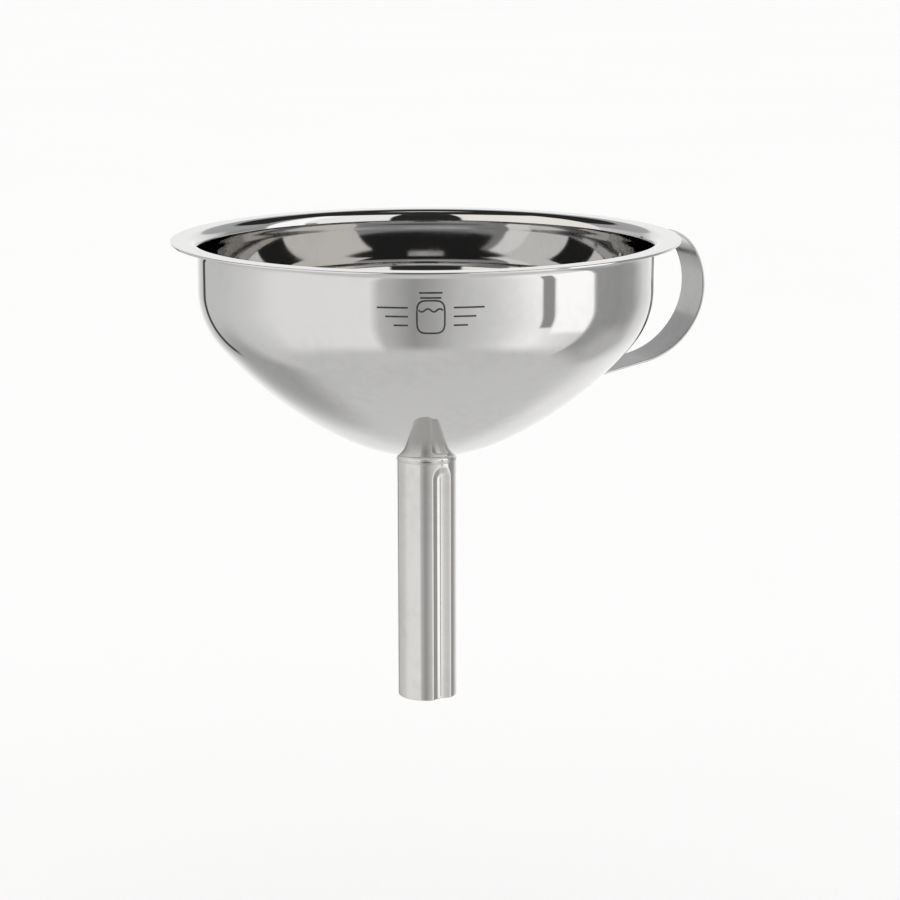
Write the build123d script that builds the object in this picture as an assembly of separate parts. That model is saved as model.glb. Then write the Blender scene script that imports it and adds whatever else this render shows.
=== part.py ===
"""Stainless steel funnel: pressed bowl, welded fluted spout and a bent strip handle.

Millimetres. +Z runs up the funnel's axis, +X points to the handle, and the origin is the
centre of the spout's open lower end.
"""

from build123d import *
from math import acos, asin, atan2, cos, degrees, radians, sin, sqrt
import os

# ---- driving sizes of the bowl ------------------------------------------------------
overall_height = 121.0        # spout's lower end to the top of the rim
rim_edge_round = 0.22         # deburred outer edge of the rim
sheet = 0.6                   # bowl's sheet steel
wall_radius = 58.3            # outside of the upright wall
rim_reach = 6.7               # upright wall to the outer edge of the flat rim
rim_bend_radius = 2.2         # underside of the bend from wall to rim
wall_depth = 12.7             # rim's top to the lower end of the upright wall
corner_radius = 21.3          # outside radius where the wall turns in
corner_turn = 40.8            # degrees that the corner turns
dish_radius = 103.7           # outside radius of the long sloping dish
dish_turn = 62.0              # degrees from upright where the dish ends
floor_radius = 55.0           # outside radius of the flatter floor round the neck
neck_bend_radius = 1.0        # bend from the floor down into the neck
neck_length = 0.3             # straight part of the neck

# ---- driving sizes of the spout -----------------------------------------------------
spout_radius = 7.7            # outside of the tube, and of the bowl's neck
spout_wall = 0.6
weld_height = 0.9             # width of the weld between the neck and the spout
weld_crown = 0.08             # how far the dressed weld stands proud
flute_angle = -81.0           # degrees from +X to the middle of the air groove
flute_radius = 4.0            # the groove's own hollow
flute_depth = 1.2
flute_start = 4.0             # below the top of the spout to the groove's round end
flute_edge_round = 0.5        # softened shoulders of the groove

# ---- driving sizes of the handle ----------------------------------------------------
strip = 0.6                   # thickness of the handle's strip
strip_width = 12.0
strip_corner = 2.2            # rounded corners of the strip's two ends
top_foot_length = 9.5         # foot on the upright wall, below its bend
top_bend_radius = 2.6         # middle of the strip where the top foot turns out
shoulder_reach = 6.4          # wall to the start of the first bend of the loop
shoulder_radius = 12.0
shoulder_turn = 60.0
back_radius = 18.5
back_turn = 122.0
belly_radius = 21.0
heel_radius = 5.0             # bend where the loop turns onto the dish
heel_angle = 51.5             # place of the heel on the dish, degrees from upright
low_foot_length = 9.5
foot_press = 0.6              # how deep the feet's pads reach behind their flat middle
spot_radius = 1.5             # spot weld
spot_depth = 0.2              # how far a weld reaches into the bowl, and into the foot
spot_spacing = 6.4            # between the two spot welds of a foot
spot_inset = 4.6              # end of a foot to its spot welds
dimple_radius = 6.0           # round tip of the welding electrode
dimple_depth = 0.12           # how far the tip sinks into both outer skins

# ---- sizes that follow --------------------------------------------------------------
rim_z = overall_height
rim_radius = wall_radius + rim_reach
wall_low_z = rim_z - wall_depth
bend_z = rim_z - sheet - rim_bend_radius
rim_flat_end = rim_radius - rim_edge_round
spout_bore = spout_radius - spout_wall


def on_circle(centre, radius, angle):
    """Point of the outside skin: angle is measured from level outwards, down to the axis."""
    return (centre[0] + radius * cos(radians(angle)), centre[1] - radius * sin(radians(angle)))


def arc(centre, radius, start, end):
    """Arc on a skin circle, between two angles of on_circle."""
    middle = (start + end) / 2
    return ThreePointArc(
        on_circle(centre, radius, start),
        on_circle(centre, radius, middle),
        on_circle(centre, radius, end),
    )


# Centres of the three tangent arcs of the bowl's outside, and of its neck bend.
corner_centre = (wall_radius - corner_radius, wall_low_z)
dish_centre = on_circle(corner_centre, corner_radius - dish_radius, corner_turn)
floor_centre = on_circle(dish_centre, dish_radius - floor_radius, dish_turn)
neck_bend_x = spout_radius + neck_bend_radius
floor_end = degrees(acos((neck_bend_x - floor_centre[0]) / (floor_radius + neck_bend_radius)))
neck_bend_centre = on_circle(floor_centre, floor_radius + neck_bend_radius, floor_end)
neck_z = neck_bend_centre[1] - neck_length
spout_top_z = neck_z - weld_height


def bowl_outline(step):
    """Closed half section of the bowl; step 0 is its outside skin, sheet its inside."""
    return [
        Line((spout_radius - step, neck_z), (spout_radius - step, neck_bend_centre[1])),
        arc(neck_bend_centre, neck_bend_radius + step, 180, 180 + floor_end),
        arc(floor_centre, floor_radius - step, floor_end, dish_turn),
        arc(dish_centre, dish_radius - step, dish_turn, corner_turn),
        arc(corner_centre, corner_radius - step, corner_turn, 0),
        Line((wall_radius - step, wall_low_z), (wall_radius - step, bend_z)),
        arc((wall_radius + rim_bend_radius, bend_z), rim_bend_radius + step, 180, 270),
        Line(
            (wall_radius + rim_bend_radius, rim_z - sheet + step),
            (rim_flat_end, rim_z - sheet + step),
        ),
    ]


def revolved(edges):
    """Full turn about +Z of a closed outline drawn as (radius, height), its seam opposite the handle."""
    return Rot(0, 0, 180) * revolve(Plane.XZ * make_face(edges), Axis.Z)


def rim_edge():
    """Rounded outer edge of the rim, from its underside to its top."""
    low = (rim_flat_end, rim_z - sheet + rim_edge_round)
    high = (rim_flat_end, rim_z - rim_edge_round)
    return [
        arc(low, rim_edge_round, 90, 0),
        Line((rim_radius, low[1]), (rim_radius, high[1])),
        arc(high, rim_edge_round, 0, -90),
    ]


def bowl_envelope():
    """The bowl's outside as a filled solid, for shaping what lies against it."""
    inside = [
        Line((rim_flat_end, rim_z), (0, rim_z)),
        Line((0, rim_z), (0, neck_z)),
        Line((0, neck_z), (spout_radius, neck_z)),
    ]
    return revolved(bowl_outline(0) + rim_edge() + inside)


def flute_tool(radius):
    """Round-ended bar that presses the groove; its end stops flute_start below the top."""
    distance = spout_radius + flute_radius - flute_depth
    end_z = spout_top_z - flute_start
    bar = Pos(distance, 0, end_z / 2 - 1) * Cylinder(radius, end_z + 2)
    bar += Pos(distance, 0, end_z) * Sphere(radius)
    return Rot(0, 0, flute_angle) * bar


def spout():
    middle = spout_top_z / 2
    outside = Pos(0, 0, middle) * Cylinder(spout_radius, spout_top_z) - flute_tool(flute_radius)
    shoulders = outside.edges().filter_by(lambda edge: 0.5 < edge.center().Z < spout_top_z - 0.5)
    outside = fillet(shoulders, flute_edge_round)
    bore = Pos(0, 0, middle) * Cylinder(spout_bore, spout_top_z + 2)
    bore -= flute_tool(flute_radius + spout_wall)
    return outside - bore


def spout_weld():
    middle = (neck_z + spout_top_z) / 2
    return revolved([
        Line((spout_bore, neck_z), (spout_bore, spout_top_z)),
        Line((spout_bore, spout_top_z), (spout_radius, spout_top_z)),
        ThreePointArc(
            (spout_radius, spout_top_z),
            (spout_radius + weld_crown, middle),
            (spout_radius, neck_z),
        ),
        Line((spout_radius, neck_z), (spout_bore, neck_z)),
    ])


# ---- handle's places ----------------------------------------------------------------
# The strip's middle line lies in the plane of +X and +Z. It starts on the upright wall,
# turns out under the rim, runs round the loop and comes back onto the dish.
half_strip = strip / 2
top_foot_x = wall_radius + half_strip
shoulder_z = rim_z - sheet - half_strip
top_bend_centre = (top_foot_x + top_bend_radius, shoulder_z - top_bend_radius)
top_foot_end = top_bend_centre[1] - top_foot_length
shoulder_centre = (wall_radius + shoulder_reach, shoulder_z - shoulder_radius)
back_centre = on_circle(shoulder_centre, shoulder_radius - back_radius, shoulder_turn - 90)
belly_centre = on_circle(back_centre, back_radius - belly_radius, back_turn - 90)
low_foot_radius = dish_radius + half_strip
low_foot_end = heel_angle + degrees(low_foot_length / low_foot_radius)
heel_centre = on_circle(dish_centre, low_foot_radius + heel_radius, heel_angle)

# The straight run from the loop's belly to its heel touches both of those circles.
run_x = heel_centre[0] - belly_centre[0]
run_z = heel_centre[1] - belly_centre[1]
run_reach = belly_radius + heel_radius
run_length = sqrt(run_x**2 + run_z**2 - run_reach**2)
run_slope = degrees(atan2(-run_z, -run_x) - atan2(run_reach, run_length))


def strip_skin(side):
    """One face of the strip, side being the distance from its middle line to that face."""
    return [
        Line((top_foot_x - side, top_foot_end), (top_foot_x - side, top_bend_centre[1])),
        arc(top_bend_centre, top_bend_radius + side, 180, 270),
        Line((top_bend_centre[0], shoulder_z + side), (shoulder_centre[0], shoulder_z + side)),
        arc(shoulder_centre, shoulder_radius + side, -90, shoulder_turn - 90),
        arc(back_centre, back_radius + side, shoulder_turn - 90, back_turn - 90),
        arc(belly_centre, belly_radius + side, back_turn - 90, 90 - run_slope),
        Line(
            on_circle(belly_centre, belly_radius + side, 90 - run_slope),
            on_circle(heel_centre, heel_radius - side, 270 - run_slope),
        ),
        arc(heel_centre, heel_radius - side, 270 - run_slope, 180 + heel_angle),
        arc(dish_centre, low_foot_radius + side, heel_angle, low_foot_end),
    ]


def slab(edges):
    """Closed outline in the handle's plane, as wide as the strip."""
    return extrude(Plane.XZ * make_face(edges), strip_width / 2, both=True)


def foot_pads():
    """Metal that reaches in from both feet to the round skin that they are pressed onto."""
    wall_x = wall_radius - foot_press
    top = [
        Line((top_foot_x, top_foot_end), (top_foot_x, top_bend_centre[1])),
        Line((top_foot_x, top_bend_centre[1]), (wall_x, top_bend_centre[1])),
        Line((wall_x, top_bend_centre[1]), (wall_x, top_foot_end)),
        Line((wall_x, top_foot_end), (top_foot_x, top_foot_end)),
    ]
    deep = dish_radius - foot_press
    low = [
        arc(dish_centre, low_foot_radius, heel_angle, low_foot_end),
        Line(
            on_circle(dish_centre, low_foot_radius, low_foot_end),
            on_circle(dish_centre, deep, low_foot_end),
        ),
        arc(dish_centre, deep, low_foot_end, heel_angle),
        Line(
            on_circle(dish_centre, deep, heel_angle),
            on_circle(dish_centre, low_foot_radius, heel_angle),
        ),
    ]
    return slab(top) + slab(low)


# ---- spot welds ---------------------------------------------------------------------
top_spot_z = top_foot_end + spot_inset
low_spot_angle = low_foot_end - degrees(spot_inset / low_foot_radius)
low_spot_radius = on_circle(dish_centre, dish_radius, low_spot_angle)[0]


def both_spots(piece, skin_radius):
    """A pair of copies, turned about +Z to stand spot_spacing apart on a skin."""
    turn = degrees(asin(spot_spacing / 2 / skin_radius))
    return [Rot(0, 0, side * turn) * piece for side in (-1, 1)]


def weld_nugget(point, slope):
    """Button of melted metal centred on the bowl's skin, its axis square to that skin."""
    return Pos(point[0], 0, point[1]) * Rot(0, 90 + slope, 0) * Cylinder(spot_radius, 2 * spot_depth)


def top_spots():
    return both_spots(weld_nugget((wall_radius, top_spot_z), 0), wall_radius)


def low_spots():
    point = on_circle(dish_centre, dish_radius, low_spot_angle)
    return both_spots(weld_nugget(point, low_spot_angle), low_spot_radius)


def inner_dimples():
    """Electrode tips on the bowl's inside."""
    lift = sheet + dimple_radius - dimple_depth
    top = (wall_radius - lift, top_spot_z)
    low = on_circle(dish_centre, dish_radius - lift, low_spot_angle)
    tip = Sphere(dimple_radius)
    return both_spots(Pos(top[0], 0, top[1]) * tip, wall_radius) + both_spots(
        Pos(low[0], 0, low[1]) * tip, low_spot_radius
    )


def outer_dimples():
    """Electrode tips on the outside of the strip's two feet."""
    lift = half_strip + dimple_radius - dimple_depth
    top = (top_foot_x + lift, top_spot_z)
    low = on_circle(dish_centre, low_foot_radius + lift, low_spot_angle)
    tip = Sphere(dimple_radius)
    sides = (-spot_spacing / 2, spot_spacing / 2)
    return [Pos(place[0], side, place[1]) * tip for place in (top, low) for side in sides]


# ---- pieces that the welds hold -----------------------------------------------------
def bowl():
    mouth = Line((spout_radius - sheet, neck_z), (spout_radius, neck_z))
    body = revolved(bowl_outline(0) + rim_edge() + bowl_outline(sheet) + [mouth])
    return body - top_spots() - low_spots() - inner_dimples()


def handle():
    foot_ends = [(top_foot_x, top_foot_end), on_circle(dish_centre, low_foot_radius, low_foot_end)]
    ends = [
        Line((top_foot_x - half_strip, top_foot_end), (top_foot_x + half_strip, top_foot_end)),
        Line(
            on_circle(dish_centre, low_foot_radius - half_strip, low_foot_end),
            on_circle(dish_centre, low_foot_radius + half_strip, low_foot_end),
        ),
    ]
    strap = slab(strip_skin(half_strip) + strip_skin(-half_strip) + ends) + foot_pads()
    sides = (-strip_width / 2, strip_width / 2)
    corner_points = [Vector(x, side, z) for x, z in foot_ends for side in sides]
    corners = strap.edges().filter_by(
        lambda edge: any((edge.center() - point).length < strip for point in corner_points)
    )
    strap = fillet(corners, strip_corner) - bowl_envelope()
    return strap - top_spots() - low_spots() - outer_dimples()


if __name__ == "__main__":
    os.makedirs("parts", exist_ok=True)
    nodes = {
        "bowl": bowl(),
        "spout": spout(),
        "spout_weld": spout_weld(),
        "handle": handle(),
        "handle_top_spot_welds": Compound(children=top_spots()),
        "handle_low_spot_welds": Compound(children=low_spots()),
    }
    for name, piece in nodes.items():
        print(name, round(piece.volume, 1), "mm3", len(piece.solids()), "solid(s)")
        export_step(piece, f"parts/{name}.step")
    print("top of the spout", round(spout_top_z, 2), "neck", round(neck_z, 2))
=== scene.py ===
# %% [markdown]
# # A stainless steel kitchen funnel
# The funnel is four kinds of work in one object: a bowl pressed and spun from sheet, a drawn tube
# for the spout, a bead of weld between them, and a strip of steel bent into a handle and held by
# spot welds. The CAD model gives every piece its place and size. Polished steel shows nothing but
# its surroundings, so each skin here is a fine, exact surface, and the studio round it is planned
# as carefully as the steel.

import math

import bmesh
import bpy
import numpy as np
from mathutils import Matrix, Vector


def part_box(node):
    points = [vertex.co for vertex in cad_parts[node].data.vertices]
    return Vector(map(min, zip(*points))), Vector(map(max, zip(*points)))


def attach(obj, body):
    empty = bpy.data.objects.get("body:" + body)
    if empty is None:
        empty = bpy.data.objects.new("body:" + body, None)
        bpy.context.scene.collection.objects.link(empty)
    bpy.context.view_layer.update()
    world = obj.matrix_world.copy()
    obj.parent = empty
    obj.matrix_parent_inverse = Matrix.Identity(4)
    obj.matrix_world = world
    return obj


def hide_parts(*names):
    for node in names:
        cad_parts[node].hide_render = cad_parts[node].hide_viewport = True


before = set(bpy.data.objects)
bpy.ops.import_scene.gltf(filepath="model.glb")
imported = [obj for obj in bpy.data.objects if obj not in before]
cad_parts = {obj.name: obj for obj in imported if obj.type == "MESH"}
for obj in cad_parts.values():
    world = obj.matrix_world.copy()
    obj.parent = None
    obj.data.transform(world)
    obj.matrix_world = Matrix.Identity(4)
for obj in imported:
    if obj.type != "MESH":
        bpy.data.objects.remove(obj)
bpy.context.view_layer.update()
mm = 0.001
print("nodes:", sorted(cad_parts))

# %% [markdown]
# ## The camera
# A long lens a good half metre away keeps the funnel's proportions honest. The camera is placed by
# where it stands: how far round the funnel's axis, how far out, and how high. Then it is turned by
# plain angles: a little down, and a hair to one side. A Track To constraint could aim it, but three
# axes written as a matrix leave nothing to guess.

# %% Camera
camera_round = math.radians(-113.0)
camera_out = 0.6955
camera_height = 0.2109
camera_down = math.radians(11.81)
camera_aside = math.radians(0.50)
camera_roll = math.radians(0.10)


def camera_axes(heading, down, roll):
    """Right, up and backward axes: the heading is level, tipped down, then rolled about the view."""
    level = math.cos(down)
    forward = Vector((math.cos(heading) * level, math.sin(heading) * level, -math.sin(down)))
    right = forward.cross(Vector((0, 0, 1))).normalized()
    up = right.cross(forward)
    rolled_right = right * math.cos(roll) - up * math.sin(roll)
    rolled_up = right * math.sin(roll) + up * math.cos(roll)
    return rolled_right, rolled_up, -forward


camera_data = bpy.data.cameras.new("camera")
camera_data.sensor_width = 36.0
camera_data.lens = 109.6
camera_data.clip_end = 60.0
camera = bpy.data.objects.new("camera", camera_data)
bpy.context.scene.collection.objects.link(camera)
axes = camera_axes(camera_round + math.pi - camera_aside, camera_down, camera_roll)
place = Vector((camera_out * math.cos(camera_round), camera_out * math.sin(camera_round), camera_height))
camera.matrix_world = Matrix.Translation(place) @ Matrix(axes).transposed().to_4x4()
bpy.context.scene.camera = camera
print("camera at", [round(value, 4) for value in place])

# %% [markdown]
# ## Surfaces from numbers
# Each piece is a function of two parameters, worked out on a whole grid at once. One helper turns
# such a grid into a mesh: it can close the grid into a ring in either direction, and close an end
# with a small fan, so that every piece ends up as a sealed skin with its faces pointing outwards.

# %% Grid helper
def grid_faces(rows, columns, close_rows, close_columns):
    """Quads between neighbours (i, j), (i, j+1), (i+1, j+1), (i+1, j), wrapping where closed."""
    i = np.arange(rows if close_rows else rows - 1)
    j = np.arange(columns if close_columns else columns - 1)
    i, j = np.meshgrid(i, j, indexing="ij")
    next_i, next_j = (i + 1) % rows, (j + 1) % columns
    here, below = i * columns, next_i * columns
    return np.stack([here + j, here + next_j, below + next_j, below + j], -1)


def enclosed(mesh):
    """Volume in cubic millimetres: positive when the mesh is sealed and its faces point outwards."""
    shape = bmesh.new()
    shape.from_mesh(mesh)
    volume = shape.calc_volume(signed=True) / mm**3
    shape.free()
    return round(volume, 1)


def surface_piece(name, points, close_rows=False, close_columns=False, cap_ends=False, inward=False):
    """Mesh object from a (rows, columns, 3) grid of places in metres; caps are flat end faces."""
    rows, columns = points.shape[:2]
    quads = grid_faces(rows, columns, close_rows, close_columns).reshape(-1, 4)
    faces = (quads[:, ::-1] if inward else quads).tolist()
    if cap_ends:
        first, last = list(range(columns)), list(range((rows - 1) * columns, rows * columns))
        faces += [first if inward else first[::-1], last[::-1] if inward else last]
    mesh = bpy.data.meshes.new(name)
    mesh.from_pydata(points.reshape(-1, 3).tolist(), [], faces)
    mesh.polygons.foreach_set("use_smooth", np.ones(len(faces), dtype=bool))
    mesh.set_sharp_from_angle(angle=math.radians(50))  # keeps the butt ends crisp
    mesh.update()
    piece = bpy.data.objects.new(name, mesh)
    bpy.context.scene.collection.objects.link(piece)
    sealed = close_columns and (close_rows or cap_ends)
    print(name, "has", len(faces), "faces;", enclosed(mesh) if sealed else "no", "cubic mm inside")
    return piece


def ease(value, start, end):
    """0 before start, 1 after end, and a smooth S between them."""
    t = np.clip((value - start) / (end - start), 0.0, 1.0)
    return t * t * (3 - 2 * t)


# %% [markdown]
# ## The bowl's line
# A sheet bowl has one thickness everywhere, so its whole section follows from one line: upright
# wall, a corner, a long shallow dish, a flatter floor and a tight bend into the neck. The arcs meet
# without a kink. The inside is the same line one sheet further in. Arcs are walked in even steps,
# because a mirror shows any place where the steps change suddenly.

# %% Bowl's line
bowl_low, bowl_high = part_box("bowl")
rim_z = bowl_high[2] / mm
rim_radius = bowl_high[1] / mm
neck_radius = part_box("spout")[1][1] / mm
sheet = 0.6
wall_radius = 58.3
rim_bend = 2.2
edge_round = 0.22
corner_radius, corner_turn = 21.3, 40.8
dish_radius, dish_turn = 103.7, 62.0
floor_radius = 55.0
neck_bend = 1.0
wall_low_z = rim_z - 12.7


def on_circle(centre, radius, angle):
    """Centre plus radius times (cos, -sin): the angle runs from level outwards down to the axis."""
    angle = np.radians(angle)
    return np.stack([centre[0] + radius * np.cos(angle), centre[1] - radius * np.sin(angle)], -1)


corner_centre = np.array([wall_radius - corner_radius, wall_low_z])
dish_centre = on_circle(corner_centre, corner_radius - dish_radius, corner_turn)
floor_centre = on_circle(dish_centre, dish_radius - floor_radius, dish_turn)
floor_reach = neck_radius + neck_bend - floor_centre[0]
floor_turn = math.degrees(math.acos(floor_reach / (floor_radius + neck_bend)))
neck_centre = on_circle(floor_centre, floor_radius + neck_bend, floor_turn)
bend_centre = np.array([wall_radius + rim_bend, rim_z - sheet - rim_bend])


def skin_line(step, pitch):
    """The bowl's skin from the neck up to the rim's edge, step further in, a point every pitch mm."""
    def arc(centre, radius, start, end):
        count = max(3, int(abs(math.radians(end - start)) * radius / pitch))
        return on_circle(centre, radius, np.linspace(start, end, count, endpoint=False))

    def run(start, end):
        count = max(2, int(np.hypot(end[0] - start[0], end[1] - start[1]) / pitch))
        return np.linspace(start, end, count, endpoint=False)

    return np.concatenate([
        run((neck_radius - step, neck_centre[1] - 0.3), (neck_radius - step, neck_centre[1])),
        arc(neck_centre, neck_bend + step, 180, 180 + floor_turn),
        arc(floor_centre, floor_radius - step, floor_turn, dish_turn),
        arc(dish_centre, dish_radius - step, dish_turn, corner_turn),
        arc(corner_centre, corner_radius - step, corner_turn, 0),
        run((wall_radius - step, wall_low_z), (wall_radius - step, bend_centre[1])),
        arc(bend_centre, rim_bend + step, 180, 270),
        run((bend_centre[0], rim_z - sheet + step), (rim_radius - edge_round, rim_z - sheet + step)),
    ])


outside_line = skin_line(0.0, 0.9)
inside_line = skin_line(sheet, 0.55)
turn = np.radians(np.linspace(90, -90, 13))
edge_centre_z = rim_z - sheet / 2 + np.where(turn > 0, -1, 1) * (sheet / 2 - edge_round)
rim_edge = np.stack([
    rim_radius - edge_round + edge_round * np.cos(turn),
    edge_centre_z - edge_round * np.sin(turn),
], -1)
print("floor turns to", round(floor_turn, 2), "degrees; neck at", round(float(neck_centre[1]) - 0.3, 2), "mm")

# %% [markdown]
# ## The bowl
# Turning the section round the axis gives the bowl. Two touches make it pressed steel rather than
# an ideal shape. Just under the rim the inside has a fine crease, where the flange was rolled over.
# Behind the handle are the four small dimples of the spot welder. The columns of the grid crowd
# together on the handle's side, by moving each angle towards the handle, so that dimples of under
# three millimetres get enough points without a heavy mesh elsewhere.

# %% Bowl
crease_depth, crease_width, crease_below_rim = 0.05, 0.22, 4.2
spot_spread = 3.2
spot_high_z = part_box("handle_top_spot_welds")[0][2] / mm + 1.5
spot_low_z = sum(corner[2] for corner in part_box("handle_low_spot_welds")) / 2 / mm


def dimple(distance, radius=1.2, depth=0.12):
    """Shallow cup: depth times one minus the square of distance over radius, eased at its lip."""
    return depth * np.clip(1 - (distance / radius) ** 2, 0, 1) ** 1.5


def bowl_grid():
    """Closed section carried round the axis, with the crease and the dimples pushed into the sheet."""
    line = np.concatenate([outside_line, rim_edge, inside_line[::-1]])
    inner = np.concatenate([np.zeros(len(outside_line) + len(rim_edge)), np.ones(len(inside_line))])
    slope = np.gradient(line, axis=0)
    normal = np.stack([slope[:, 1], -slope[:, 0]], -1) / np.linalg.norm(slope, axis=1)[:, None]
    drop = crease_depth * np.exp(-((line[:, 1] - rim_z + crease_below_rim) / crease_width) ** 2)
    line = line - normal * (drop * inner * (line[:, 0] < wall_radius))[:, None]
    even = np.linspace(-math.pi, math.pi, 360, endpoint=False)
    around = even - 0.68 * np.sin(even)
    radius, z = line[:, None, 0] + 0 * around, line[:, None, 1] + 0 * around
    aside = np.abs(radius * np.sin(around)) - spot_spread
    handle_side = (np.cos(around) > 0) * inner[:, None]
    low_along = (z - spot_low_z - 0.4) * 1.66  # height to length along the sloping dish
    push = dimple(np.hypot(aside, z - spot_high_z)) + dimple(np.hypot(aside, low_along))
    radius = radius - normal[:, None, 0] * push * handle_side
    z = z - normal[:, None, 1] * push * handle_side
    return np.stack([radius * np.cos(around), radius * np.sin(around), z], -1) * mm


bowl = surface_piece("pressed_bowl", bowl_grid(), close_rows=True, close_columns=True)

# %% [markdown]
# ## The spout
# The spout is a tube with one air groove pressed in from outside, so that air can leave the bottle
# while liquid runs in. Round the axis, the tube's radius is constant, and the groove is where a
# round bar cuts into it. A soft minimum of the two radii gives the gently rounded shoulders that
# pressed metal has. A Boolean would give hard edges that need repair afterwards.

# %% Spout
spout_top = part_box("spout")[1][2] / mm
spout_wall = 0.6
groove_round = math.radians(-81.0)
groove_radius, groove_depth, groove_start = 4.0, 1.2, 4.0


def soft_minimum(a, b, width):
    """The smaller of two values, with the corner between them rounded over a width."""
    h = np.clip(width - np.abs(a - b), 0, None) / width
    return np.minimum(a, b) - h * h * width / 4


def tube_radius(around, z, tube, bar):
    """Tube's radius less the groove: a bar of a radius stands off the axis and ends in a ball."""
    aside = np.angle(np.exp(1j * (around - groove_round)))
    off_axis = neck_radius + groove_radius - groove_depth
    ball = np.clip(z - (spout_top - groove_start), 0, bar)
    square = bar**2 - ball**2 - (off_axis * np.sin(aside)) ** 2
    met = (square > 0) & (np.cos(aside) > 0)
    groove = np.where(met, off_axis * np.cos(aside) - np.sqrt(np.clip(square, 0, None)), 99.0)
    return soft_minimum(tube, groove, 1.0)


def spout_grid():
    """Outside skin down, round lip at the tip, inside skin up; radius follows tube_radius."""
    near_top = spout_top - np.linspace(0, 9, 40, endpoint=False)
    outer_z = np.concatenate([near_top, np.linspace(spout_top - 9, 0.3, 70)])
    inner_z = np.linspace(0.3, spout_top, 80)
    lip = np.radians(np.linspace(0, 180, 11))[1:-1]
    z = np.concatenate([outer_z, 0.3 - 0.3 * np.sin(lip), inner_z])[:, None]
    across = np.concatenate([np.ones(len(outer_z)), np.cos(lip), -np.ones(len(inner_z))])[:, None]
    around = np.linspace(-math.pi, math.pi, 288, endpoint=False)[None, :]
    outer = tube_radius(around, z, neck_radius, groove_radius)
    inner = tube_radius(around, z, neck_radius - spout_wall, groove_radius + spout_wall)
    radius = (outer + inner) / 2 + across * (outer - inner) / 2
    return np.stack([radius * np.cos(around), radius * np.sin(around), z + 0 * around], -1) * mm


spout = surface_piece("spout_tube", spout_grid(), close_rows=True, close_columns=True, inward=True)

# %% [markdown]
# ## The weld round the neck
# The tube is butted to the bowl's neck and welded all round. A machine weld is a low bead whose
# crown rises and falls a little, one ripple for each pulse of the arc. It is a small closed ring: a
# section with a crown, carried round the axis, its height changing with the angle.

# %% Weld ring
def weld_grid():
    """Crowned section on a ring; the crown is scaled by a ripple and a slow drift with the angle."""
    low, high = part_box("spout_weld")
    low_z, high_z = low[2] / mm, high[2] / mm
    crown = high[0] / mm - neck_radius
    around = np.linspace(-math.pi, math.pi, 420, endpoint=False)[None, :]
    t = np.linspace(0, 1, 15)[:, None]
    ripple = 0.90 + 0.05 * np.cos(62 * around + 3 * (t - 0.5) ** 2) + 0.04 * np.sin(5 * around + 1.0)
    outer = neck_radius + crown * (1 - (2 * t - 1) ** 2) * ripple
    inner = neck_radius - spout_wall + 0 * outer[:4]
    radius = np.concatenate([outer, inner])
    heights = np.concatenate([low_z + (high_z - low_z) * t, np.linspace(high_z, low_z, 4)[:, None]])
    z = heights + 0 * around
    return np.stack([radius * np.cos(around), radius * np.sin(around), z], -1) * mm


weld = surface_piece("neck_weld_bead", weld_grid(), close_rows=True, close_columns=True)

# %% [markdown]
# ## The handle
# The handle starts as a flat strip. Its two ends are rounded and pressed onto the bowl, and the rest
# is bent into a loop for a finger. The middle line is a chain of arcs that meet without a kink, and
# the section is a thin rectangle with soft edges. At both feet the strip hugs the round bowl, so its
# points there sink towards the bowl by as much as a circle falls away from its tangent.

# %% Handle's middle line
strip, strip_width, end_corner = 0.6, 12.0, 2.2
half_strip = strip / 2
foot_x = wall_radius + half_strip
shoulder_z = rim_z - sheet - half_strip
top_bend_radius, foot_length = 2.6, 9.5
top_bend_centre = np.array([foot_x + top_bend_radius, shoulder_z - top_bend_radius])
foot_end_z = top_bend_centre[1] - foot_length
shoulder_radius, back_radius, belly_radius, heel_radius = 12.0, 18.5, 21.0, 5.0
shoulder_centre = np.array([wall_radius + 6.4, shoulder_z - shoulder_radius])
back_centre = on_circle(shoulder_centre, shoulder_radius - back_radius, -30)
belly_centre = on_circle(back_centre, back_radius - belly_radius, 32)
heel_angle = 51.5
low_radius = dish_radius + half_strip
low_end = heel_angle + math.degrees(foot_length / low_radius)
heel_centre = on_circle(dish_centre, low_radius + heel_radius, heel_angle)
heel_gap = heel_centre - belly_centre
both_radii = belly_radius + heel_radius
run_length = math.sqrt(heel_gap @ heel_gap - both_radii**2)
run_slope = math.degrees(math.atan2(-heel_gap[1], -heel_gap[0]) - math.atan2(both_radii, run_length))


def handle_line(pitch):
    """Middle line in (x, z), one point every pitch, with each point's length along the strip."""
    def sweep(centre, radius, start, end):
        return on_circle(centre, radius, np.linspace(start, end, 60))

    line = np.concatenate([
        np.linspace((foot_x, foot_end_z), (foot_x, top_bend_centre[1]), 20),
        sweep(top_bend_centre, top_bend_radius, 180, 270),
        sweep(shoulder_centre, shoulder_radius, -90, -30),
        sweep(back_centre, back_radius, -30, 32),
        sweep(belly_centre, belly_radius, 32, 90 - run_slope),
        sweep(heel_centre, heel_radius, 270 - run_slope, 180 + heel_angle),
        sweep(dish_centre, low_radius, heel_angle, low_end),
    ])
    step = np.linalg.norm(np.diff(line, axis=0), axis=1)
    line = line[np.concatenate([[True], step > 1e-6])]
    along = np.concatenate([[0], np.cumsum(np.linalg.norm(np.diff(line, axis=0), axis=1))])
    even = np.linspace(0, along[-1], int(along[-1] / pitch))
    return np.stack([np.interp(even, along, line[:, 0]), np.interp(even, along, line[:, 1])], -1), even


handle_path, handle_along = handle_line(0.42)
handle_length = handle_along[-1]
print("handle strip is", round(handle_length, 1), "mm long")

# %% Handle
strip_edge = 0.22
spot_from_end = 4.6


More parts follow.
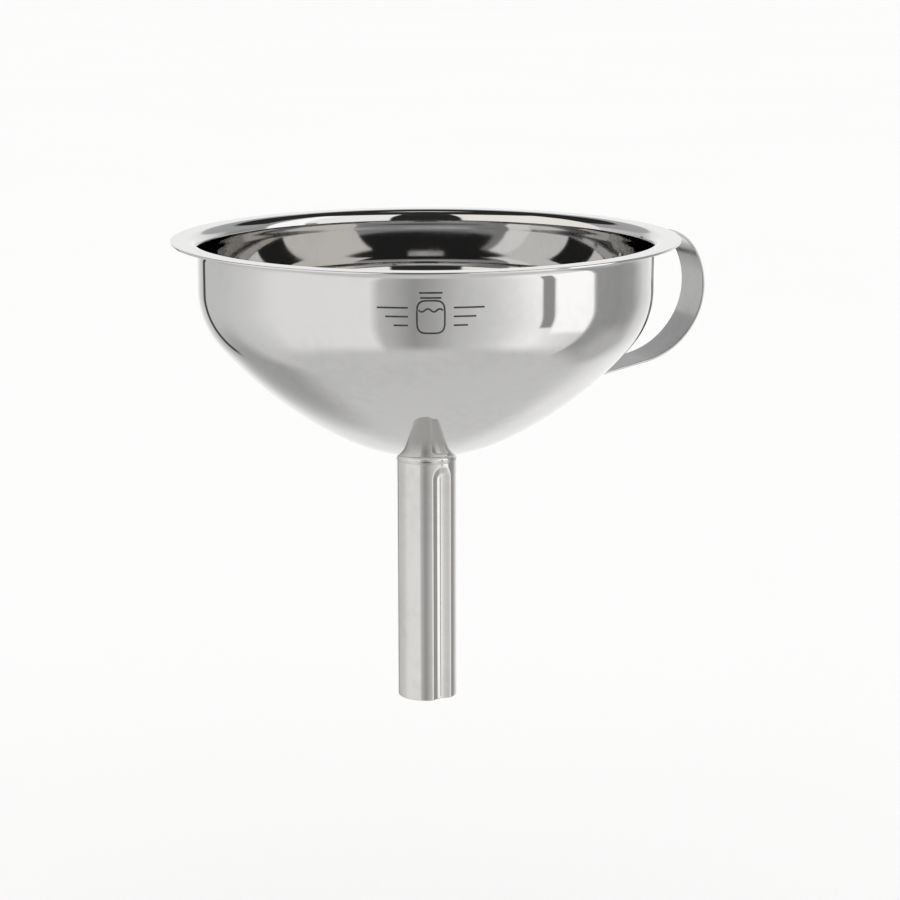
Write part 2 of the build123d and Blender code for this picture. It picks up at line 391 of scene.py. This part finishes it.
def strip_section(count_flat, count_round):
    """Closed rectangle with round edges, as three rows: across, rounding of the edge, and through."""
    flat = np.linspace(-1, 1, count_flat)
    half = np.linspace(-math.pi / 2, math.pi / 2, count_round)
    level, edge = 0 * flat, np.ones(count_round)
    across = np.concatenate([flat, edge, flat[::-1], -edge])
    rounding = np.concatenate([level, np.cos(half), level, np.cos(half)])
    through = np.concatenate([level - 1, np.sin(half), level + 1, -np.sin(half)])
    return across, rounding, through


def handle_grid():
    """Section on the path's own axes; narrowed to round corners at both ends, sunk at both feet."""
    tangent = np.gradient(handle_path, axis=0)
    tangent /= np.linalg.norm(tangent, axis=1)[:, None]
    outward = np.stack([-tangent[:, 1], tangent[:, 0]], -1)
    from_end = np.minimum(handle_along, handle_length - handle_along)
    corner = np.clip(end_corner - from_end, 0, end_corner)
    half_width = strip_width / 2 - end_corner + np.sqrt(end_corner**2 - corner**2)
    across, rounding, through = strip_section(43, 7)
    thin = half_strip * np.sqrt(np.clip(1 - np.clip(1 - from_end / strip_edge, 0, 1) ** 2, 0.02, 1))
    y = across * (half_width - strip_edge)[:, None] + np.sign(across) * rounding * strip_edge
    depth = through * thin[:, None]
    on_top = 1 - ease(handle_along, 8.6, 12.5)
    on_low = ease(handle_along, handle_length - 12.0, handle_length - 8.5)
    low_reach = (handle_path[:, 0] / math.cos(math.radians(52.5)))[:, None]
    wall_fall = wall_radius - np.sqrt(wall_radius**2 - y**2)
    dish_fall = low_reach - np.sqrt(np.clip(low_reach**2 - y**2, 0, None))
    sink = on_top[:, None] * wall_fall - on_low[:, None] * dish_fall
    tip = np.hypot(np.abs(y) - spot_spread, (from_end - spot_from_end)[:, None])
    top_half = (handle_along < handle_length / 2)[:, None]
    away = depth + sink + dimple(tip) * np.where(top_half, through < -0.99, -1.0 * (through > 0.99))
    x = handle_path[:, None, 0] + outward[:, None, 0] * away
    z = handle_path[:, None, 1] + outward[:, None, 1] * away
    return np.stack([x, y, z], -1) * mm


handle = surface_piece("strip_handle", handle_grid(), close_columns=True, cap_ends=True)

# %% [markdown]
# ## The printed mark
# Funnels like this carry a small printed mark on the front. This one is plain on purpose: a
# preserving jar in outline between short rules. Ink has almost no thickness, so each stroke is a
# very thin flat band bent onto the bowl. It is drawn flat in millimetres, across and down, and then
# wrapped: across becomes an angle round the axis, and down becomes a length along the bowl's skin.

# %% Printed mark
mark_round = math.radians(-111.9)
mark_down = 10.4
skin_steps = np.linalg.norm(np.diff(outside_line[::-1], axis=0), axis=1)
skin_along = np.concatenate([[0], np.cumsum(skin_steps)])


def on_front(across, down, lift):
    """Place on the bowl's outside: down is measured along the skin below the rim's bend."""
    line = outside_line[::-1]
    start = np.argmax(line[:, 1] < rim_z - sheet - rim_bend + 0.01)
    length = skin_along - skin_along[start] + sheet + rim_bend
    radius, z = np.interp(down, length, line[:, 0]), np.interp(down, length, line[:, 1])
    tilt = np.clip(down - 12.7, 0, None) / corner_radius
    around = mark_round + across / wall_radius
    radius, z = radius + lift * np.cos(tilt), z - lift * np.sin(tilt)
    return np.stack([radius * np.cos(around), radius * np.sin(around), z], -1)


def stroke_grid(path, width):
    """A flat band along a path: left and right edges, each at the skin's two ink heights."""
    tangent = np.gradient(path, axis=0)
    tangent /= np.linalg.norm(tangent, axis=1)[:, None]
    left = np.stack([tangent[:, 1], -tangent[:, 0]], -1) * width / 2
    sides = [(left, 0.004), (left, 0.016), (-left, 0.016), (-left, 0.004)]
    return np.stack([on_front(*(path + side).T, lift) for side, lift in sides], 1) * mm


def jar_outline():
    """A square whose corners are rounded by a fourth-power oval: the jar's body."""
    t = np.linspace(0, 2 * math.pi, 73)
    across = 3.3 * np.sign(np.cos(t)) * np.abs(np.cos(t)) ** 0.5
    down = 1.0 + 3.9 * np.sign(np.sin(t)) * np.abs(np.sin(t)) ** 0.5
    return np.stack([across, down], -1)


def rule(x0, x1, y):
    """A level straight stroke."""
    return np.stack([np.linspace(x0, x1, 12), np.full(12, y)], -1)


ripple_across = np.linspace(-2.9, 2.9, 40)
strokes = [jar_outline(), rule(-2.5, 2.5, -3.55), rule(-2.75, 2.75, -4.75),
           np.stack([ripple_across, -0.6 + 0.35 * np.sin(ripple_across * 2.2)], -1)]
strokes += [rule(side * 5.4, side * (5.4 + reach), level)
            for side in (-1, 1) for reach, level in ((7.4, -1.2), (5.4, 0.9), (3.4, 3.0))]
bands = []
for number, path in enumerate(strokes):
    grid = stroke_grid(path + [0, mark_down], 0.42)
    bands.append(surface_piece(f"ink_{number}", grid, close_columns=True, cap_ends=True))
chosen = {"active_object": bands[0], "selected_editable_objects": bands, "selected_objects": bands}
with bpy.context.temp_override(**chosen):
    bpy.ops.object.join()
mark = bands[0]
mark.name = "printed_mark"
print("printed mark:", len(mark.data.polygons), "faces")

# %% [markdown]
# ## Shared finishes
# Three effects turn up on more than one piece, so each is a node group. Spinning, polishing and
# drawing all leave fine rings round the axis: a noise stretched along the ring, read from the
# distance to the axis and the height. Handling leaves soft cloudy marks that change the gloss. And
# pressed sheet is never perfectly true: very long, very low waves bend the reflections.

# %% Node helpers
def new_group(name, inputs, outputs):
    """Node group with named float inputs (name, value) and float or colour outputs (name, type)."""
    group = bpy.data.node_groups.new(name, "ShaderNodeTree")
    for label, value in inputs:
        socket = group.interface.new_socket(label, in_out="INPUT", socket_type="NodeSocketFloat")
        socket.default_value = value
    for label, kind in outputs:
        group.interface.new_socket(label, in_out="OUTPUT", socket_type=kind)
    return group, group.nodes.new("NodeGroupInput"), group.nodes.new("NodeGroupOutput")


def node(tree, kind, values=None, **settings):
    """A node with its settings and the values of its sockets; a linked socket is given as a socket."""
    made = tree.nodes.new("ShaderNode" + kind)
    for key, value in settings.items():
        setattr(made, key, value)
    for key, value in (values or {}).items():
        if isinstance(value, bpy.types.NodeSocket):
            tree.links.new(value, made.inputs[key])
        else:
            made.inputs[key].default_value = value
    return made


def sums(tree, operation, first, second=0.0, third=0.0):
    """One Math node; returns its output."""
    return node(tree, "Math", {0: first, 1: second, 2: third}, operation=operation).outputs[0]


# %% Turned rings
def turned_rings():
    """Noise over (cos, sin) of the angle and over radius plus height: long round, fine across."""
    group, given, out = new_group(
        "turned_rings", [("Rings per mm", 6.0), ("Length", 6.0)], [("Height", "NodeSocketFloat")])
    place = node(group, "TexCoord").outputs["Object"]
    parts = node(group, "SeparateXYZ", {0: place})
    radius = sums(group, "SQRT", sums(group, "ADD", sums(group, "POWER", parts.outputs[0], 2.0),
                                      sums(group, "POWER", parts.outputs[1], 2.0)))
    slant = sums(group, "ADD", radius, sums(group, "MULTIPLY", parts.outputs[2], 1.37))
    per_metre = sums(group, "MULTIPLY", given.outputs["Rings per mm"], 1000.0)
    across = sums(group, "MULTIPLY", slant, per_metre)
    cosine, sine = [
        sums(group, "MULTIPLY", sums(group, "DIVIDE", parts.outputs[i], radius), given.outputs["Length"])
        for i in (0, 1)
    ]
    ring_place = node(group, "CombineXYZ", {0: cosine, 1: sine, 2: across}).outputs[0]
    grain = node(group, "TexNoise", {"Vector": ring_place, "Scale": 1.0, "Detail": 3.0, "Roughness": 0.6})
    group.links.new(grain.outputs[0], out.inputs["Height"])
    return group


rings_group = turned_rings()
print("group:", rings_group.name)

# %% Handling marks and sheet waves
def handling_marks():
    """Two noises, a wide cloud and a fine one, multiplied and stretched to a mask from 0 to 1."""
    group, given, out = new_group(
        "handling_marks", [("Size", 40.0), ("Amount", 1.0)], [("Mask", "NodeSocketFloat")])
    place = node(group, "TexCoord").outputs["Object"]
    cloud = node(group, "TexNoise", {"Vector": place, "Scale": given.outputs["Size"], "Detail": 3.0})
    fine_size = sums(group, "MULTIPLY", given.outputs["Size"], 9.0)
    fine = node(group, "TexNoise", {"Vector": place, "Scale": fine_size})
    both = sums(group, "MULTIPLY", cloud.outputs[0], sums(group, "ADD", fine.outputs[0], 0.5))
    limits = {0: both, 1: 0.38, 2: 0.72, 3: 0.0, 4: 1.0}
    mask = node(group, "MapRange", limits, interpolation_type="SMOOTHSTEP")
    group.links.new(sums(group, "MULTIPLY", mask.outputs[0], given.outputs["Amount"]), out.inputs["Mask"])
    return group


def sheet_waves():
    """Very wide smooth noise in object space, put out as a height."""
    group, given, out = new_group("sheet_waves", [("Size", 28.0)], [("Height", "NodeSocketFloat")])
    place = node(group, "TexCoord").outputs["Object"]
    wave = node(group, "TexNoise", {"Vector": place, "Scale": given.outputs["Size"], "Detail": 1.0})
    group.links.new(wave.outputs[0], out.inputs["Height"])
    return group


marks_group = handling_marks()
waves_group = sheet_waves()
print("groups:", marks_group.name, waves_group.name)

# %% [markdown]
# ## Steel
# All the steel is one metal: fully metallic, a slightly warm grey. What differs is the last tool it
# met. The bowl was buffed to a mirror, the tube keeps its drawing rings, the strip came satin from
# the mill, and the weld is dressed but dull. Each material is the same recipe with its own values:
# rings, waves and marks set the roughness and, through two Bump nodes, the normal.

# %% Steel recipe
def use(tree, group, **values):
    """Places a shared group with its own input values and returns its first output."""
    made = tree.nodes.new("ShaderNodeGroup")
    made.node_tree = group
    for label, value in values.items():
        made.inputs[label.replace("_", " ")].default_value = value
    return made.outputs[0]


def steel(name, light, dark, smooth, dull, ring_height, wave_height, rings=6.0, marks=40.0, waves=28.0):
    """Metal whose colour, roughness and normal vary with rings, handling marks and sheet waves."""
    material = bpy.data.materials.new(name)
    material.use_nodes = True
    tree = material.node_tree
    shader = tree.nodes["Principled BSDF"]
    shader.inputs["Metallic"].default_value = 1.0
    ring = use(tree, rings_group, Rings_per_mm=rings)
    mark_mask = use(tree, marks_group, Size=marks)
    wave = use(tree, waves_group, Size=waves)
    wear = sums(tree, "MULTIPLY_ADD", ring, 0.5, sums(tree, "MULTIPLY", mark_mask, 0.5))
    rough = node(tree, "MapRange", {0: wear, 1: 0.15, 2: 0.75, 3: smooth, 4: dull})
    tint = node(tree, "Mix", {0: mark_mask, 6: (*light, 1.0), 7: (*dark, 1.0)}, data_type="RGBA")
    far = node(tree, "Bump", {"Height": wave, "Distance": wave_height * mm, "Strength": 1.0})
    fine = {"Height": ring, "Distance": ring_height * mm, "Strength": 1.0, "Normal": far.outputs[0]}
    near = node(tree, "Bump", fine)
    tree.links.new(rough.outputs[0], shader.inputs["Roughness"])
    tree.links.new(tint.outputs[2], shader.inputs["Base Color"])
    tree.links.new(near.outputs[0], shader.inputs["Normal"])
    print("material", name)
    return material


mirror_steel = steel(
    "mirror_steel", (0.580, 0.575, 0.567), (0.550, 0.546, 0.538), 0.030, 0.065, 0.0005, 0.05)
drawn_steel = steel(
    "drawn_steel", (0.585, 0.575, 0.560), (0.55, 0.54, 0.525), 0.085, 0.16, 0.0010, 0.06, rings=3.0)
satin_strip = steel(
    "satin_strip", (0.50, 0.497, 0.49), (0.46, 0.457, 0.45), 0.10, 0.17, 0.0010, 0.08,
    rings=2.5, marks=90.0, waves=60.0)
dressed_weld = steel(
    "dressed_weld", (0.56, 0.545, 0.52), (0.44, 0.43, 0.41), 0.24, 0.40, 0.002, 0.06, rings=4.0)

# %% [markdown]
# ## Ink
# Printed ink on steel is nearly black and dries to a low sheen. Under a glass it is not even: it
# thins out in places, so its colour and its roughness follow the same soft noise.

# %% Ink
def printed_ink():
    """Dark, not metallic; colour and roughness follow the handling marks at a small size."""
    material = bpy.data.materials.new("printed_ink")
    material.use_nodes = True
    tree = material.node_tree
    shader = tree.nodes["Principled BSDF"]
    patch = use(tree, marks_group, Size=600.0)
    thick, thin = (0.018, 0.018, 0.020, 1.0), (0.045, 0.044, 0.045, 1.0)
    tint = node(tree, "Mix", {0: patch, 6: thick, 7: thin}, data_type="RGBA")
    rough = node(tree, "MapRange", {0: patch, 3: 0.38, 4: 0.6})
    tree.links.new(tint.outputs[2], shader.inputs["Base Color"])
    tree.links.new(rough.outputs[0], shader.inputs["Roughness"])
    return material


ink = printed_ink()
print("material", ink.name)

# %% [markdown]
# ## The studio
# Steel needs something to reflect. The studio is a white tent: a pale floor below, white walls round
# it, a gap with a darker room behind the camera, and one tall softbox on the right with a dark stand
# in front of it. It is a world shader that looks only at the direction of a ray, which costs no
# render time. Rays that come straight from the camera see plain white instead, so the backdrop
# stays clean, and the floor gets an even soft light.

# %% Studio walls
def wall_ramp(tree, share):
    """Brightness of the low white surround by the angle from the front, as stops of a ramp."""
    walls = node(tree, "ValToRGB", {0: share})
    stops = [(-166, 0.62), (-150, 0.42), (-134, 0.46), (-120, 0.50), (-100, 0.56), (-80, 0.68),
             (-28, 0.70), (-23, 0.45), (-6, 0.27), (4, 0.34), (14, 0.46), (24, 0.53), (34, 0.60),
             (42, 0.68), (50, 0.78), (58, 0.86), (91, 0.62), (94, 0.29), (112, 0.26), (126, 0.30),
             (140, 0.56), (156, 0.66)]
    ramp = walls.color_ramp.elements
    ramp[0].color = ramp[1].color = (0.62, 0.62, 0.62, 1.0)
    for degrees_round, value in stops:
        ramp.new(degrees_round / 360 + 0.5).color = (value, value, value, 1.0)
    return walls.outputs[0]


def within(tree, value, low, high, soft):
    """1 between two limits and 0 outside them, each edge a smooth step of twice the softness."""
    edges = [(low - soft, low + soft, 0.0, 1.0), (high - soft, high + soft, 1.0, 0.0)]
    masks = [node(tree, "MapRange", {0: value, 1: a, 2: b, 3: c, 4: d}, interpolation_type="SMOOTHSTEP")
             for a, b, c, d in edges]
    return sums(tree, "MULTIPLY", masks[0].outputs[0], masks[1].outputs[0])


def hang(tree, scene, mask, colour):
    """Puts a panel of one colour in front of what is there already."""
    return node(tree, "Mix", {0: mask, 6: scene, 7: (*colour, 1.0)}, data_type="RGBA").outputs[2]


def studio():
    """Brightness by direction, in degrees round from the front and degrees up, built from the back."""
    world = bpy.data.worlds.new("studio")
    bpy.context.scene.world = world
    world.use_nodes = True
    tree = world.node_tree
    direction = node(tree, "TexCoord").outputs["Generated"]
    to_front = {"Vector": direction, "Angle": math.radians(23.0)}
    turned = node(tree, "VectorRotate", to_front, rotation_type="Z_AXIS")
    parts = node(tree, "SeparateXYZ", {0: turned.outputs[0]})
    about = sums(tree, "ARCTAN2", parts.outputs[0], sums(tree, "MULTIPLY", parts.outputs[1], -1.0))
    about = sums(tree, "DEGREES", about)
    aside = sums(tree, "ABSOLUTE", about)
    up = sums(tree, "DEGREES", sums(tree, "ARCSINE", parts.outputs[2]))
    share = sums(tree, "MULTIPLY_ADD", about, 1 / 360, 0.5)

    def panel(scene, angle, left, right, soft, low, high, soft_up, colour):
        sideways, upwards = within(tree, angle, left, right, soft), within(tree, up, low, high, soft_up)
        return hang(tree, scene, sums(tree, "MULTIPLY", sideways, upwards), colour)

    above = within(tree, up, -45.5, 200, 7.5)
    ground = {0: above, 6: (0.506, 0.506, 0.506, 1), 7: wall_ramp(tree, share)}
    scene = node(tree, "Mix", ground, data_type="RGBA")
    scene = panel(scene.outputs[2], about, -158, -126, 12, -55, -24, 9, (0.31, 0.31, 0.31))
    scene = panel(scene, about, 106, 138, 12, -44, -24, 6, (0.40, 0.40, 0.40))
    scene = panel(scene, about, -149.5, -145, 0.8, -30, 6, 2, (0.05, 0.05, 0.05))
    scene = panel(scene, aside, 104, 400, 3, 17, 36, 2, (0.32, 0.32, 0.33))
    scene = panel(scene, aside, 104, 400, 3, 35, 200, 1.5, (0.02, 0.02, 0.02))
    scene = panel(scene, about, -104, -19, 1.5, -3, 62, 1.5, (0.78, 0.755, 0.72))
    scene = panel(scene, about, 19, 91, 1.5, -3, 62, 1.5, (0.80, 0.80, 0.80))
    scene = panel(scene, about, 67.5, 91.5, 1.0, -27, 62, 3, (0.97, 0.97, 0.97))
    scene = panel(scene, about, 59.5, 66.5, 0.8, -21, 10, 1.5, (0.26, 0.255, 0.25))
    scene = panel(scene, aside, -1, 19, 1.0, 0, 62, 1.0, (0.02, 0.02, 0.02))
    scene = panel(scene, aside, -1, 400, 1.0, 62, 200, 1.5, (0.02, 0.02, 0.02))
    scene = panel(scene, aside, 148, 400, 3, 73, 84, 1.0, (0.50, 0.50, 0.50))
    path = node(tree, "LightPath")
    plain = sums(tree, "MAXIMUM", path.outputs["Is Camera Ray"], path.outputs["Is Diffuse Ray"])
    seen = hang(tree, scene, plain, (0.60, 0.60, 0.60))
    tree.links.new(seen, tree.nodes["Background"].inputs["Color"])
    tree.nodes["Background"].inputs["Strength"].default_value = 1.7
    return world


print("world:", studio().name)
bpy.context.scene.view_settings.view_transform = "Standard"

# %% [markdown]
# ## The floor
# The floor is a wide pale disc a hand's breadth below the spout, so the funnel hangs clear of its
# soft shadow. It reaches far enough that no view sees its edge. It is left out of reflections,
# because the studio's own floor is already in them.

# %% Floor
def floor_grid(radius, rings, spokes):
    """Disc: radius grows as a square from the middle, so the faces near the funnel are small."""
    out = (radius * np.linspace(0.001, 1, rings) ** 2)[:, None]
    around = np.linspace(-math.pi, math.pi, spokes, endpoint=False)[None, :]
    return np.stack([out * np.cos(around), out * np.sin(around), 0 * out * around - 0.09], -1)


floor = surface_piece("floor", floor_grid(14.0, 24, 96), close_columns=True, inward=True)
floor.visible_glossy = False
pale = bpy.data.materials.new("pale_floor")
pale.use_nodes = True
paper = pale.node_tree
paper_shader = paper.nodes["Principled BSDF"]
floor_place = node(paper, "TexCoord").outputs["Object"]
cloud = node(paper, "TexNoise", {"Vector": floor_place, "Scale": 3.0})
tones = {0: cloud.outputs[0], 6: (0.93, 0.93, 0.93, 1), 7: (0.95, 0.95, 0.95, 1)}
shade = node(paper, "Mix", tones, data_type="RGBA")
paper.links.new(shade.outputs[2], paper_shader.inputs["Base Color"])
paper_shader.inputs["Roughness"].default_value = 0.9
paper_shader.inputs["Specular IOR Level"].default_value = 0.1
floor.data.materials.append(pale)

# %% [markdown]
# ## Finishes and bodies
# Each new piece takes its finish, rides on the funnel's one body and stands for the CAD piece that
# it refines. The four spot welds stay as the CAD made them, between the strip and the bowl.

# %% Put it together
pieces = [  # piece, material, slot of the record, CAD node that it stands for
    (bowl, mirror_steel, "polished_steel", "bowl"),
    (spout, drawn_steel, "drawn_steel", "spout"),
    (weld, dressed_weld, "weld_metal", "spout_weld"),
    (handle, satin_strip, "strip_steel", "handle"),
    (mark, ink, "print_ink", None),
]
for piece, material, slot, stands_for in pieces:
    piece.data.materials.clear()
    piece.data.materials.append(material)
    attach(piece, "root")
    if stands_for:
        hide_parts(stands_for)
for name in ("handle_top_spot_welds", "handle_low_spot_welds"):
    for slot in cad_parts[name].material_slots:
        slot.material = dressed_weld
print("pieces:", [piece.name for piece, *_ in pieces])
